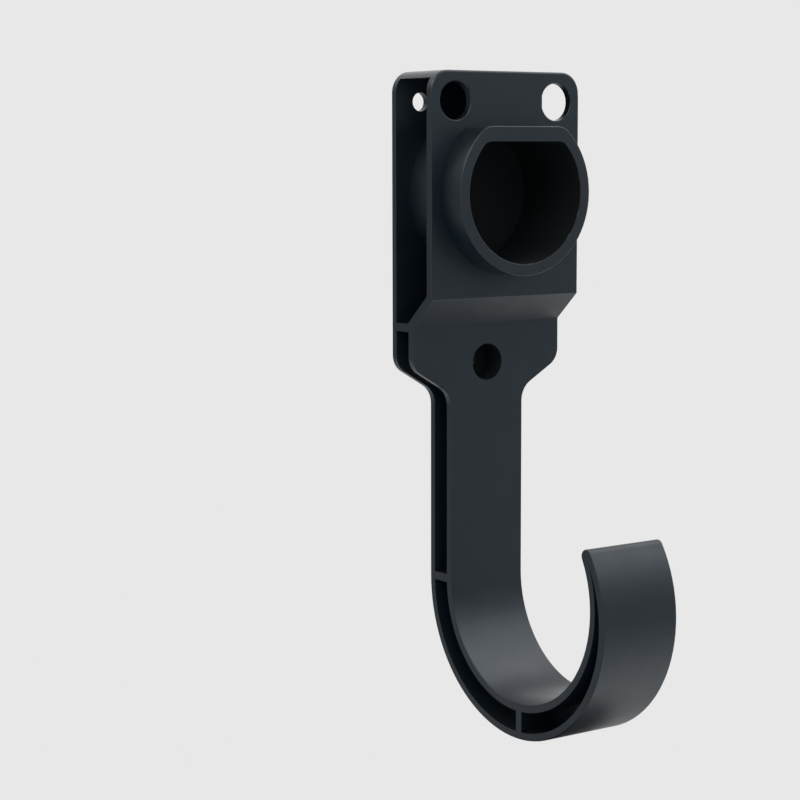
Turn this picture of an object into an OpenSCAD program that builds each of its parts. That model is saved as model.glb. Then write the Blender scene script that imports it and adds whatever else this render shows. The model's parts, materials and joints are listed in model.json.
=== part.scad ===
// Wall holder for a car-charging connector, moulded in one piece.
// A D-shaped socket takes the connector's nose, and a hook below it carries the coiled cable.
// +Z is up, the wall is the plane Y = 0, and the holder stands out from it towards -Y.
// The origin lies on the wall, midway between the two upper screws.

/* [Socket] */
// Radius of the round part of the socket
socket_r = 28; // [24:0.1:32]
// Height of the socket's flat above its axis
socket_flat = 20.4; // [17:0.1:23]
// Radius of the corners at the ends of the flat
socket_corner_r = 5; // [2:0.1:8]
// Wall of the tube that runs through the box
tube_wall = 3; // [2:0.1:4.5]
// Wall of the collar in front of the box, round the socket
collar_wall = 4.8; // [3:0.1:7]
// Wall of the collar above the flat
collar_crown = 6.1; // [3:0.1:8]
// Radius of the collar's outer corners
collar_corner_r = 8; // [4:0.1:12]
// How far the collar stands in front of the plate
collar_proj = 12.7; // [6:0.1:20]

/* [Plates] */
// Thickness of the moulded walls
wall = 3; // [2:0.1:3.8]
// Depth of the upper box, from the wall to its front face
box_d = 26.7; // [20:0.1:40]
// Plate beside the collar, on each side
collar_margin = 4.7; // [1:0.1:15]
// Front plate below the collar, down to the slope
slope_margin = 8.8; // [3:0.1:20]
// Height of the slope between the front plate and the lower plate
slope_h = 11.2; // [5:0.1:20]
// Height of the lower plate, from the slope to the corner of the neck
lower_h = 17; // [13:0.1:30]
// Radius of the top corners
corner_r = 8.5; // [3:0.1:14]

/* [Screws] */
// Upper screws, in from the plate's top and side edges
screw_inset = 12; // [10:0.1:16]
// Radius of the upper screw holes in the back plate
screw_r = 3.75; // [2:0.05:5]
// Radius of the lower screw hole in the back plate
lower_screw_r = 2.5; // [1.5:0.05:5]
// Radius of the access holes in the front
access_r = 7.5; // [5.5:0.1:9]
// Gap between the level of the upper access holes and the collar
collar_gap = 2.4; // [0.5:0.1:10]
// Lower screw, down from the bottom of the slope
lower_screw_drop = 16.2; // [13:0.1:24]

/* [Stem] */
// Width of the stem and of the hook
stem_w = 36.7; // [26:0.1:48]
// Depth of the lower plate and of the stem
stem_d = 14.3; // [12:0.1:18]
// Straight length of the stem, from the neck to the hook
stem_l = 76.5; // [50:0.5:140]
// Slope of the neck's shoulders below the horizontal, in degrees
neck_angle = 30.5; // [15:0.5:50]
// Radius of the neck's outer corners
neck_outer_r = 8; // [3:0.1:12]
// Radius of the neck's inner corners
neck_inner_r = 9; // [3:0.1:14]

/* [Hook] */
// Inner radius of the hook below the stem
hook_r = 42.8; // [30:0.1:60]
// How much wider the inner curve is under the front limb
hook_flare = 1.2; // [0:0.1:5]
// Difference between the front limb's outer and inner radius
limb_t = 8.5; // [7.5:0.1:10]
// How far the front limb rises past the level of its centre, in degrees
tip_angle = 27; // [5:1:45]

/* [Ribs] */
// Thickness of the web in the middle plane
web_t = 3; // [2:0.1:4]
// Thickness of the cross ribs
rib_t = 3.3; // [2:0.1:5]
// How far the rib behind the slope starts above the slope's lower edge
rib_lift = 0.9; // [0:0.1:2]

/* [Hidden] */
$fn = 96;
// Length that surely reaches past the part
far = 1000;

// The collar's outer size, and the plate that surrounds it
collar_r = socket_r + collar_wall;
collar_flat = socket_flat + collar_crown;
plate_half = collar_r + collar_margin;
stem_half = stem_w / 2;
screw_x = plate_half - screw_inset;

// Levels from the top down
top_z = screw_inset;
axis_z = -access_r - collar_gap - collar_flat;
slope_top_z = axis_z - collar_r - slope_margin;
slope_low_z = slope_top_z - slope_h;
slope_angle = atan2(slope_h, box_d - stem_d);
lower_screw_z = slope_low_z - lower_screw_drop;
neck_top_z = slope_low_z - lower_h;
neck_low_z = neck_top_z - (plate_half - stem_half) * tan(neck_angle);
hook_z = neck_low_z - stem_l;
rib_top_z = slope_low_z + rib_lift;

// The hook's inner and outer curves touch their lowest level on one upright line
hook_y = -stem_d - hook_r;
hook_outer_r = hook_r + stem_d;
limb_inner_r = hook_r + hook_flare;
limb_outer_r = limb_inner_r + limb_t;
limb_shift = stem_d - limb_t;
limb_z = hook_z + hook_flare;

// The rounded tip touches both curves of the limb
tip_r = (pow(limb_outer_r, 2) - pow(limb_inner_r, 2) - pow(limb_shift, 2)
         - 2 * limb_inner_r * limb_shift * sin(tip_angle))
        / (2 * (limb_inner_r + limb_outer_r + limb_shift * sin(tip_angle)));
tip_reach = limb_inner_r + tip_r;

// Sets a drawing of the side, as seen from +X, along X
module along_x(from, to) {
    translate([from, 0, 0])
        rotate([90, 0, 90])
            linear_extrude(to - from)
                children();
}

// Sets a drawing of the front between two depths behind and in front of the plates
module along_y(front, back) {
    translate([0, back, 0])
        rotate([90, 0, 0])
            linear_extrude(back - front)
                children();
}

// Circle with a flat top and rounded corners at the ends of the flat
module d_outline(r, flat, corner) {
    corner_x = sqrt(pow(r - corner, 2) - pow(flat - corner, 2));
    touch_y = (flat - corner) * r / (r - corner);
    intersection() {
        circle(r);
        translate([-r, -r])
            square([2 * r, r + touch_y]);
    }
    translate([-corner_x, 0])
        square([2 * corner_x, flat]);
    for (side = [-1, 1])
        translate([side * corner_x, flat - corner])
            circle(corner);
}

// Socket outline in its place, grown by the wall round it and the wall above the flat
module socket_outline(side_wall = 0, crown = 0, corner = socket_corner_r) {
    translate([0, axis_z])
        d_outline(socket_r + side_wall, socket_flat + crown, corner);
}

// Right half of the plate and stem, from the front
module front_half() {
    shoulder = [-cos(neck_angle), -sin(neck_angle)];
    turn = tan((90 - neck_angle) / 2);
    outer_corner = [plate_half, neck_top_z];
    inner_corner = [stem_half, neck_low_z];
    outer_touch = outer_corner + shoulder * neck_outer_r * turn;
    outer_centre = [plate_half - neck_outer_r, neck_top_z + neck_outer_r * turn];
    inner_touch = inner_corner - shoulder * neck_inner_r * turn;
    inner_centre = [stem_half + neck_inner_r, neck_low_z - neck_inner_r * turn];
    polygon([
        [0, top_z],
        [plate_half - corner_r, top_z],
        [plate_half, top_z - corner_r],
        [plate_half, outer_centre[1]],
        outer_touch,
        inner_corner,
        [stem_half, hook_z - hook_outer_r],
        [0, hook_z - hook_outer_r]
    ]);
    translate([plate_half - corner_r, top_z - corner_r])
        circle(corner_r);
    translate(outer_centre)
        circle(neck_outer_r);
    difference() {
        polygon([inner_corner, inner_touch, inner_centre, [stem_half, inner_centre[1]]]);
        translate(inner_centre)
            circle(neck_inner_r);
    }
}

module front_outline() {
    front_half();
    mirror([1, 0])
        front_half();
}

// Ring with its two circles on centres of their own
module ring(inner_at, inner_r, outer_at, outer_r) {
    difference() {
        translate(outer_at)
            circle(outer_r);
        translate(inner_at)
            circle(inner_r);
    }
}

// The hook from the side, with an inset from its inner and outer curves
module hook_band(inset) {
    limb_at = [hook_y, limb_z];
    intersection() {
        ring([hook_y, hook_z], hook_r + inset, [hook_y, hook_z], hook_outer_r - inset);
        translate([hook_y, hook_z - hook_outer_r])
            square(hook_outer_r);
    }
    intersection() {
        ring(limb_at, limb_inner_r + inset, limb_at - [0, limb_shift], limb_outer_r - inset);
        polygon([
            limb_at,
            limb_at + far * [-cos(tip_angle), sin(tip_angle)],
            [hook_y - far, limb_z - far],
            [hook_y, limb_z - far]
        ]);
    }
}

module tip_disc() {
    translate([hook_y, limb_z] + tip_reach * [-cos(tip_angle), sin(tip_angle)])
        circle(tip_r);
}

// Whole outline from the side
module side_outline() {
    polygon([
        [0, top_z],
        [-box_d, top_z],
        [-box_d, slope_top_z],
        [-stem_d, slope_low_z],
        [-stem_d, hook_z],
        [0, hook_z]
    ]);
    hook_band(0);
    tip_disc();
}

// Open cells from the side: the box above its rib, the stem, and the hook on both sides of its rib
module cell_outline() {
    slope_inner_z = slope_top_z + wall / cos(slope_angle);
    difference() {
        translate([wall - box_d, rib_top_z])
            square([box_d - 2 * wall, top_z - wall - rib_top_z]);
        polygon([
            [-box_d, slope_inner_z],
            [0, slope_inner_z - box_d * tan(slope_angle)],
            [0, slope_inner_z - far],
            [-box_d, slope_inner_z - far]
        ]);
    }
    translate([wall - stem_d, hook_z + rib_t / 2])
        square([stem_d - 2 * wall, rib_top_z - rib_t - hook_z - rib_t / 2]);
    difference() {
        hook_band(wall);
        translate([-stem_d, hook_z - rib_t / 2])
            square([stem_d, rib_t]);
        translate([hook_y - rib_t, hook_z - hook_outer_r])
            square([rib_t, stem_d]);
        tip_disc();
    }
}

// Walls, web and ribs of the plates, the stem and the hook
module shell() {
    difference() {
        intersection() {
            along_x(-plate_half, plate_half)
                side_outline();
            along_y(hook_y - far, 0)
                front_outline();
        }
        for (side = [0, 1])
            mirror([side, 0, 0])
                along_x(web_t / 2, plate_half + wall)
                    cell_outline();
    }
}

// Tube through the box, and the thicker collar in front of it
module socket_walls() {
    along_y(-box_d, -wall / 2)
        socket_outline(tube_wall, tube_wall, socket_corner_r + tube_wall);
    along_y(-box_d - collar_proj, wall / 2 - box_d)
        socket_outline(collar_wall, collar_crown, collar_corner_r);
}

// Round hole along Y, centred on a point of the front view
module hole(x, z, r, front, back) {
    translate([x, back, z])
        rotate([90, 0, 0])
            cylinder(r = r, h = back - front);
}

// Screw hole in the back plate with the access hole in front of it
module screw_way(x, z, r, front) {
    hole(x, z, r, -2 * wall, wall);
    hole(x, z, access_r, front - wall, -wall);
}

module holder() {
    color("#2d3236")
        difference() {
            union() {
                shell();
                socket_walls();
            }
            along_y(-box_d - collar_proj - wall, -wall)
                socket_outline();
            for (side = [-1, 1])
                screw_way(side * screw_x, 0, screw_r, -box_d);
            screw_way(0, lower_screw_z, lower_screw_r, -stem_d);
        }
}

holder();
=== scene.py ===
# %% [markdown]
# # A wall holder for a charging connector
# The real object is one injection-moulded piece of black plastic. A connector's nose slides into the
# D-shaped socket, the cable hangs over the hook, and three screws hold the back plate to a wall. The solid
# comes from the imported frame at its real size. This lesson gives it softened edges and the finish that the
# mould leaves on the real one, and sets it in plain studio light.

# %% Load the frame
import json
import math

import bmesh
import bpy
from mathutils import Matrix, Vector


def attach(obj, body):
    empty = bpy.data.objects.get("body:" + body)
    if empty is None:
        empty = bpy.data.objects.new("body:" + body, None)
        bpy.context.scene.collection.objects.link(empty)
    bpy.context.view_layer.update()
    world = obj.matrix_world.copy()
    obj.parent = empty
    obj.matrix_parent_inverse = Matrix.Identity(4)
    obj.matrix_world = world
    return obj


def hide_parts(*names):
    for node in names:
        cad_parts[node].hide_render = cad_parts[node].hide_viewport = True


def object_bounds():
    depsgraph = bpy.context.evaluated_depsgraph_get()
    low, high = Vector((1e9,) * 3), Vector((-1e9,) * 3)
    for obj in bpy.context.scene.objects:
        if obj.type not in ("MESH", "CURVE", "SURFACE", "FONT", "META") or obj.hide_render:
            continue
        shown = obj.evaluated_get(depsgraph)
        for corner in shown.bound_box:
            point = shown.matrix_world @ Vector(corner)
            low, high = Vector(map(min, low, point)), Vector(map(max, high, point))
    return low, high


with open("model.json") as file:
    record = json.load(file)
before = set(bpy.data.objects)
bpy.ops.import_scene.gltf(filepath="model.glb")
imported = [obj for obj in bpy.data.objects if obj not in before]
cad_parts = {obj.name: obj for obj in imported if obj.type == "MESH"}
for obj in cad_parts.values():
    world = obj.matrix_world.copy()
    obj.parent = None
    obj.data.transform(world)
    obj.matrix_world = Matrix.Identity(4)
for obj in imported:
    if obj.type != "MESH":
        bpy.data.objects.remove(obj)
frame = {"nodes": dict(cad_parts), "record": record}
cad_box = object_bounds()
MM = 0.001
print("nodes:", sorted(frame["nodes"]), "box:", [[round(v, 4) for v in corner] for corner in cad_box])

# %% [markdown]
# ## Edges
# A moulded part rarely has knife edges. The outer edges of the real holder are softened by about half a
# millimetre, and the one along the top of the front by about twice that. Those narrow rounds catch the light
# and draw the bright lines along the rims. The edges between a rim and an open cell look sharp, so they are
# left as they are, and so are the small screw holes. A Bevel modifier can make the rounds, but it needs whole
# faces, and the frame's mesh is loose triangles. So a copy is made, its flat triangles are joined into whole
# faces, and later each edge gets the weight of its round.

# %% A merged copy of the moulded body
MERGE_DISTANCE = 0.05 * MM
FLAT_ANGLE = math.radians(0.2)


def merged_shape(node):
    """A copy of a node's mesh with its triangles merged into whole faces."""
    shape = bmesh.new()
    shape.from_mesh(frame["nodes"][node].data)
    bmesh.ops.remove_doubles(shape, verts=shape.verts, dist=MERGE_DISTANCE)
    bmesh.ops.dissolve_limit(shape, angle_limit=FLAT_ANGLE, verts=shape.verts, edges=shape.edges)
    return shape


body_shape = merged_shape("holder")
print("whole faces:", len(body_shape.faces))

# %% [markdown]
# ## Tube of the lower screw
# On the real holder the access hole of the lower screw seems to go on as a tube, down to the back plate: no
# light comes through the web there, and the hole's wall shows no step. The frame's solid has only the hole,
# so the tube is added to the copy. A section spun round the screw's axis makes it, and a Boolean union joins
# it, so that the body stays one closed skin. Its bore is a hair wider than the hole, so that the two walls
# don't lie in each other, and its ends are sunk into the plates for the same reason.

# %% Sizes of the tube
mounts = {mount["name"]: mount for mount in frame["record"]["mounts"]}
upper = mounts["upper_wall_screws"]
lower = mounts["lower_wall_screw"]

PLATE_T = lower["dims"]["length_mm"] * MM
LOWER_MOUTH = -14.3 * MM
ACCESS_R = 7.5 * MM
TUBE_EASE = 0.1 * MM
TUBE_WALL = 1.9 * MM
TUBE_SUNK = 0.5 * MM
TUBE_STEPS = 72

tube_bore_r = ACCESS_R + TUBE_EASE
tube_r = tube_bore_r + TUBE_WALL
tube_front = LOWER_MOUTH + PLATE_T - TUBE_SUNK
tube_back = TUBE_SUNK - PLATE_T
print("tube from", round(tube_front / MM, 2), "to", round(tube_back / MM, 2), "mm")


# %% Make the tube
def screw_tube():
    """The tube round the lower screw, spun from its section."""
    tube = bmesh.new()
    section = [(tube_bore_r, tube_front), (tube_r, tube_front), (tube_r, tube_back), (tube_bore_r, tube_back)]
    corners = [tube.verts.new((radius, depth, 0)) for radius, depth in section]
    sides = [tube.edges.new((corners[i - 1], corners[i])) for i in range(len(corners))]
    bmesh.ops.spin(tube, geom=corners + sides, axis=(0, 1, 0), cent=(0, 0, 0), angle=2 * math.pi,
                   steps=TUBE_STEPS, use_merge=True)
    bmesh.ops.remove_doubles(tube, verts=tube.verts, dist=MERGE_DISTANCE)
    bmesh.ops.recalc_face_normals(tube, faces=tube.faces)
    bmesh.ops.translate(tube, vec=(lower["pos_m"][0], 0, lower["pos_m"][2]), verts=tube.verts)
    return tube


tube_shape = screw_tube()
print("tube faces:", len(tube_shape.faces))


# %% Join it to the body
def placed(name, data):
    """A new object of the scene that holds this data."""
    piece = bpy.data.objects.new(name, data)
    bpy.context.scene.collection.objects.link(piece)
    return piece


def as_object(shape, name):
    """Turns a shape into an object of the scene."""
    mesh = bpy.data.meshes.new(name)
    shape.to_mesh(mesh)
    shape.free()
    return placed(name, mesh)


def joined_shape(shape, added):
    """One shape from two that run into each other."""
    base = as_object(shape, "base")
    tool = as_object(added, "tool")
    join = base.modifiers.new("join", "BOOLEAN")
    join.operation = "UNION"
    join.solver = "EXACT"
    join.object = tool
    result = bpy.data.meshes.new_from_object(base.evaluated_get(bpy.context.evaluated_depsgraph_get()))
    whole = bmesh.new()
    whole.from_mesh(result)
    for mesh in (base.data, tool.data, result):
        bpy.data.meshes.remove(mesh)
    return whole


body_shape = joined_shape(body_shape, tube_shape)
open_edges = sum(1 for edge in body_shape.edges if not edge.is_manifold)
print("joined faces:", len(body_shape.faces), "open edges:", open_edges)

# %% [markdown]
# ## Rounds
# The rounds stop at the open cells, so the script has to know which faces are theirs. They could be picked by
# hand, but a rule still holds when a size changes: it starts from the web in the middle and spreads from face
# to face, up to the edges that turn outward. Round the screws a distance from their axes does the same job.

# %% Find the open cells
EDGE_ANGLE = math.radians(25)
WEB_REACH = 5 * MM
# Share of a face's normal along an axis, past which the face lies square to that axis
SQUARE = 0.99


def turns_outward(edge):
    """Whether the surface bends away from the plastic at this edge."""
    return edge.calc_face_angle_signed(0.0) > EDGE_ANGLE


def cell_faces(shape):
    """The faces of the open cells: the web, and all that joins it without an outward edge between."""
    found = {face for face in shape.faces
             if abs(face.normal.x) > SQUARE and abs(face.calc_center_median().x) < WEB_REACH}
    still_to_search = list(found)
    while still_to_search:
        face = still_to_search.pop()
        for edge in face.edges:
            if turns_outward(edge):
                continue
            fresh = [other for other in edge.link_faces if other not in found]
            found.update(fresh)
            still_to_search.extend(fresh)
    return found


cells = cell_faces(body_shape)
print("cell faces:", len(cells), "of", len(body_shape.faces))

# %% Find the screws
half_spacing = upper["dims"]["spacing_x_mm"] * MM / 2
screw_places = [Vector(upper["pos_m"]) + Vector((side * half_spacing, 0, 0)) for side in (-1, 1)]
screw_places.append(Vector(lower["pos_m"]))
print("screws:", [[round(v, 4) for v in place] for place in screw_places])


def from_screw(point):
    """How far a point lies from the axis of the nearest screw."""
    return min(math.hypot(point.x - place.x, point.z - place.z) for place in screw_places)


# %% Choose the round of each edge
EDGE_R = 0.45 * MM
# The top of the front, down to the ends of its round corners
TOP_EDGE_R = 0.9 * MM
TOP_REACH = 9 * MM
# Nearer to a screw's axis an edge stays sharp: on a face that looks to the front, and on any other
SCREW_REACH = 5 * MM
ACCESS_REACH = 9 * MM


def edge_round(edge):
    """The radius of an edge's round: none inside, on the cells and behind the mouths of the screw holes."""
    if not turns_outward(edge) or cells.intersection(edge.link_faces):
        return 0.0
    middle = (edge.verts[0].co + edge.verts[1].co) / 2
    on_front = any(face.normal.y < -SQUARE for face in edge.link_faces)
    if from_screw(middle) < (SCREW_REACH if on_front else ACCESS_REACH):
        return 0.0
    return TOP_EDGE_R if on_front and middle.z > cad_box[1][2] - TOP_REACH else EDGE_R


# %% Round the edges
EDGE_STEPS = 3


def soften(shape, name):
    """A piece whose outer edges are rounded."""
    weight = shape.edges.layers.float.new("bevel_weight_edge")
    for edge in shape.edges:
        edge.smooth = abs(edge.calc_face_angle_signed(0.0)) < EDGE_ANGLE
        edge[weight] = edge_round(edge) / TOP_EDGE_R
    for face in shape.faces:
        face.smooth = True
    print(name, "softened edges:", sum(1 for edge in shape.edges if edge[weight] > 0))
    piece = as_object(shape, name)
    rounding = piece.modifiers.new("edge_rounds", "BEVEL")
    rounding.limit_method = "WEIGHT"
    rounding.width = TOP_EDGE_R
    rounding.segments = EDGE_STEPS
    rounding.use_clamp_overlap = False
    rounding.harden_normals = True
    return piece


body = soften(body_shape, "moulded_body")

# %% [markdown]
# ## Plastic
# The holder looks like black ABS that was moulded against fine spark-eroded steel. That leaves a dry, even
# surface: dark grey where the light comes from the front, much paler where it grazes, with soft broad
# reflections and no mirror image. The socket and the tube of the lower screw look dead black, so their faces
# get a darker, rougher copy of the plastic with hardly any sheen: painted shade that darkens these deep
# bores.
# Both are made by one function from a few values, and each face gets its material by where it lies.


# %% Colours and nodes
def linear(hex_colour):
    """An sRGB hex colour as the linear colour that shaders take."""
    channels = [int(hex_colour[i:i + 2], 16) / 255 for i in (1, 3, 5)]
    return tuple(c / 12.92 if c <= 0.04045 else ((c + 0.055) / 1.055) ** 2.4 for c in channels) + (1.0,)


def bare_tree(owner):
    """The node tree of a material or of a world, emptied."""
    owner.use_nodes = True
    owner.node_tree.nodes.clear()
    return owner.node_tree


def add_node(tree, kind, inputs):
    """Adds a node, and sets or links its inputs by name."""
    node = tree.nodes.new(kind)
    for key, value in inputs.items():
        if isinstance(value, bpy.types.NodeSocket):
            tree.links.new(value, node.inputs[key])
        else:
            node.inputs[key].default_value = value
    return node


# %% Moulded black ABS
COOL_SHEEN = linear("#f2f9ff")
GRAIN_DETAIL = 2.0
GRAIN_STRENGTH = 0.1
# Clouds in the sheen, where the plastic flowed into the mould
FLOW_MM = 9.0
FLOW_DETAIL = 3.0
FLOW_LOW = 0.3
FLOW_HIGH = 0.7
FLOW_SPREAD = 0.03


def black_abs(name, colour, sheen, dullness, grain_mm, grain_depth_mm):
    """Black ABS with the grain of its mould, and the faint cloudiness of plastic that flowed in."""
    material = bpy.data.materials.new(name)
    tree = bare_tree(material)
    place = add_node(tree, "ShaderNodeTexCoord", {}).outputs["Object"]
    grain = add_node(tree, "ShaderNodeTexNoise",
                     {"Vector": place, "Scale": 1 / (grain_mm * MM), "Detail": GRAIN_DETAIL})
    bump = add_node(tree, "ShaderNodeBump",
                    {"Height": grain.outputs["Fac"], "Strength": GRAIN_STRENGTH,
                     "Distance": grain_depth_mm * MM})
    flow = add_node(tree, "ShaderNodeTexNoise",
                    {"Vector": place, "Scale": 1 / (FLOW_MM * MM), "Detail": FLOW_DETAIL})
    clouds = add_node(tree, "ShaderNodeMapRange",
                      {"Value": flow.outputs["Fac"], "From Min": FLOW_LOW, "From Max": FLOW_HIGH,
                       "To Min": dullness - FLOW_SPREAD, "To Max": dullness + FLOW_SPREAD})
    shader = add_node(tree, "ShaderNodeBsdfPrincipled",
                      {"Base Color": linear(colour), "Roughness": clouds.outputs["Result"], "IOR": sheen,
                       "Specular Tint": COOL_SHEEN, "Normal": bump.outputs["Normal"]})
    add_node(tree, "ShaderNodeOutputMaterial", {"Surface": shader.outputs["BSDF"]})
    return material


# A spark-eroded grain is about a tenth of a millimetre wide, too fine to show, so both are drawn coarser.
# Spark-eroded outside: an even satin black with a cool cast
spark_eroded = black_abs("spark_eroded_black_abs", "#08161f", sheen=1.45, dullness=0.40, grain_mm=0.6,
                         grain_depth_mm=0.02)
# Inside the deep bores: darker, rougher and with hardly any sheen, painted shade that darkens the socket and
# the screw's tube
painted_shade_abs = black_abs("black_abs_painted_shade", "#050c0f", sheen=1.30, dullness=0.70, grain_mm=1.2,
                        grain_depth_mm=0.05)
finishes = [spark_eroded, painted_shade_abs]
print("finishes:", [finish.name for finish in finishes])

# %% Give the finish and the painted shade to the faces
BORE_SLACK = 0.1 * MM

socket = mounts["connector_socket"]
deep_bores = [(Vector(socket["pos_m"]), socket["dims"]["r_mm"] * MM),
              (Vector((lower["pos_m"][0], LOWER_MOUTH, lower["pos_m"][2])), tube_bore_r)]


def in_bore(point):
    """Whether a point lies in one of the deep bores, behind its mouth."""
    for mouth, radius in deep_bores:
        offset = point - mouth
        if math.hypot(offset.x, offset.z) < radius + BORE_SLACK and offset.y > -BORE_SLACK:
            return True
    return False


for finish in finishes:
    body.data.materials.append(finish)
# The faces inside the deep bores get the darker copy of the plastic, painted shade in these recesses
painted_shade_faces = [face for face in body.data.polygons
                if all(in_bore(body.data.vertices[corner].co) for corner in face.vertices)]
for face in painted_shade_faces:
    face.material_index = finishes.index(painted_shade_abs)
print("coarse faces:", len(painted_shade_faces))

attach(body, "root")
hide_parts("holder")

# %% [markdown]
# ## Camera
# The photograph looks at the holder from its front left and a little from above, through a long lens. The
# camera's place and turn were fitted to points of the holder there.

# %% Set the camera
VIEW_FROM = Vector((-528.5, -695.7, -20.3)) * MM
VIEW_AZIMUTH = math.radians(-35.42)
VIEW_HEIGHT = math.radians(6.677)
VIEW_ROLL = math.radians(-0.143)
LENS_MM = 95.0
SENSOR_MM = 36.0


def turned_to(azimuth, height):
    """Turns +Z towards a direction: azimuth 0 is the front, and the right is at a quarter turn."""
    return Matrix.Rotation(azimuth, 4, "Z") @ Matrix.Rotation(math.pi / 2 - height, 4, "X")


camera = placed("camera", bpy.data.cameras.new("camera"))
camera.data.lens = LENS_MM
camera.data.sensor_width = SENSOR_MM
turn = turned_to(VIEW_AZIMUTH, VIEW_HEIGHT) @ Matrix.Rotation(VIEW_ROLL, 4, "Z")
camera.matrix_world = Matrix.Translation(VIEW_FROM) @ turn
bpy.context.scene.camera = camera
print("camera distance:", round(VIEW_FROM.length, 3), "m")

# %% [markdown]
# ## Studio
# The holder hangs in front of a plain pale grey, well above a pale floor. The world is that grey in every
# direction. One wide soft light stands high on the right. It shines evenly over the whole floor, which is
# painted so that under both lights it comes out as pale as the world behind it, and only the holder's own
# soft shadow darkens it. A black part shows its form by what it reflects, so a photographer sets cards round
# it: dark ones that deepen a face, and white or lit ones that draw a highlight. Here each card is a plane
# that only reflections see.

# %% World
PALE_GREY = linear("#e8e8e8")


def studio_world():
    """Plain pale grey all round."""
    world = bpy.data.worlds.new("studio")
    tree = bare_tree(world)
    grey = add_node(tree, "ShaderNodeBackground", {"Color": PALE_GREY, "Strength": 1.0})
    add_node(tree, "ShaderNodeOutputWorld", {"Surface": grey.outputs["Background"]})
    bpy.context.scene.world = world


studio_world()
print("world grey:", [round(channel, 3) for channel in PALE_GREY[:3]])

# %% Softbox
SOFTBOX_STRENGTH = 1.7
SOFTBOX_SPREAD = math.radians(60)
SOFTBOX_AZIMUTH = math.radians(71)
SOFTBOX_HEIGHT = math.radians(46)


def softbox():
    """A wide soft light, high on the right and a little to the front, equally strong everywhere."""
    lamp = bpy.data.lights.new("softbox", "SUN")
    lamp.energy = SOFTBOX_STRENGTH
    lamp.angle = SOFTBOX_SPREAD
    placed("softbox", lamp).matrix_world = turned_to(SOFTBOX_AZIMUTH, SOFTBOX_HEIGHT)


softbox()
print("softbox strength:", SOFTBOX_STRENGTH, "W/m2")


# %% Sheets for the cards and the floor
def flat_sheet(name, half_x, half_y, height):
    """A flat sheet, square to +Z at a height, as an object of the scene."""
    corners = [(-half_x, -half_y), (half_x, -half_y), (half_x, half_y), (-half_x, half_y)]
    mesh = bpy.data.meshes.new(name)
    mesh.from_pydata([(x, y, height) for x, y in corners], [], [(0, 1, 2, 3)])
    return placed(name, mesh)


def plain_surface(name, kind, inputs):
    """A material of one shader."""
    material = bpy.data.materials.new(name)
    tree = bare_tree(material)
    shader = add_node(tree, kind, inputs)
    add_node(tree, "ShaderNodeOutputMaterial", {"Surface": shader.outputs[0]})
    return material


# %% Cards
def studio_card(name, azimuth, height, wide, high, distance, glow):
    """A card that faces the holder, placed and sized in degrees as seen from it, and set off in metres."""
    half_x = distance * math.tan(math.radians(wide) / 2)
    half_y = distance * math.tan(math.radians(high) / 2)
    middle = Vector((0, 0, (cad_box[0][2] + cad_box[1][2]) / 2))
    card = flat_sheet(name, half_x, half_y, distance)
    card.data.transform(Matrix.Translation(middle) @ turned_to(math.radians(azimuth), math.radians(height)))
    card.data.materials.append(plain_surface(name, "ShaderNodeEmission", {"Strength": glow}))
    card.visible_camera = False
    card.visible_diffuse = False
    card.visible_transmission = False
    card.visible_shadow = False
    print(name, round(2 * half_x, 2), "by", round(2 * half_y, 2), "m")


studio_card("front_card", azimuth=25, height=-8, wide=56, high=36, distance=3.0, glow=0.44)
studio_card("left_card", azimuth=-145, height=0, wide=76, high=34, distance=2.0, glow=0.34)
studio_card("left_panel", azimuth=-120, height=50, wide=36, high=30, distance=2.5, glow=5.0)
studio_card("under_card", azimuth=-17, height=-75, wide=33, high=40, distance=0.16, glow=0.05)
studio_card("low_reflector", azimuth=64, height=-42, wide=50, high=26, distance=1.05, glow=1.35)
studio_card("rim_panel", azimuth=156, height=24, wide=42, high=28, distance=3.0, glow=1.75)
studio_card("edge_panel", azimuth=-45, height=40, wide=50, high=30, distance=2.5, glow=5.0)

# %% Floor
FLOOR_DROP = 0.75
FLOOR_SIZE = 400.0


def pale_floor():
    """A wide floor below the holder, as pale as the world once both lights fall on it."""
    lamp_share = SOFTBOX_STRENGTH * math.sin(SOFTBOX_HEIGHT) / math.pi
    paint = [grey / (grey + lamp_share) for grey in PALE_GREY[:3]]
    floor = flat_sheet("floor", FLOOR_SIZE / 2, FLOOR_SIZE / 2, cad_box[0][2] - FLOOR_DROP)
    matte = plain_surface("pale_floor", "ShaderNodeBsdfDiffuse", {"Color": (*paint, 1.0)})
    floor.data.materials.append(matte)
    print("floor paint:", [round(channel, 3) for channel in paint])


pale_floor()

# %% [markdown]
# ## Finish
# The Standard view shows each colour as it is written.

# %% Set the view
bpy.context.scene.view_settings.view_transform = "Standard"
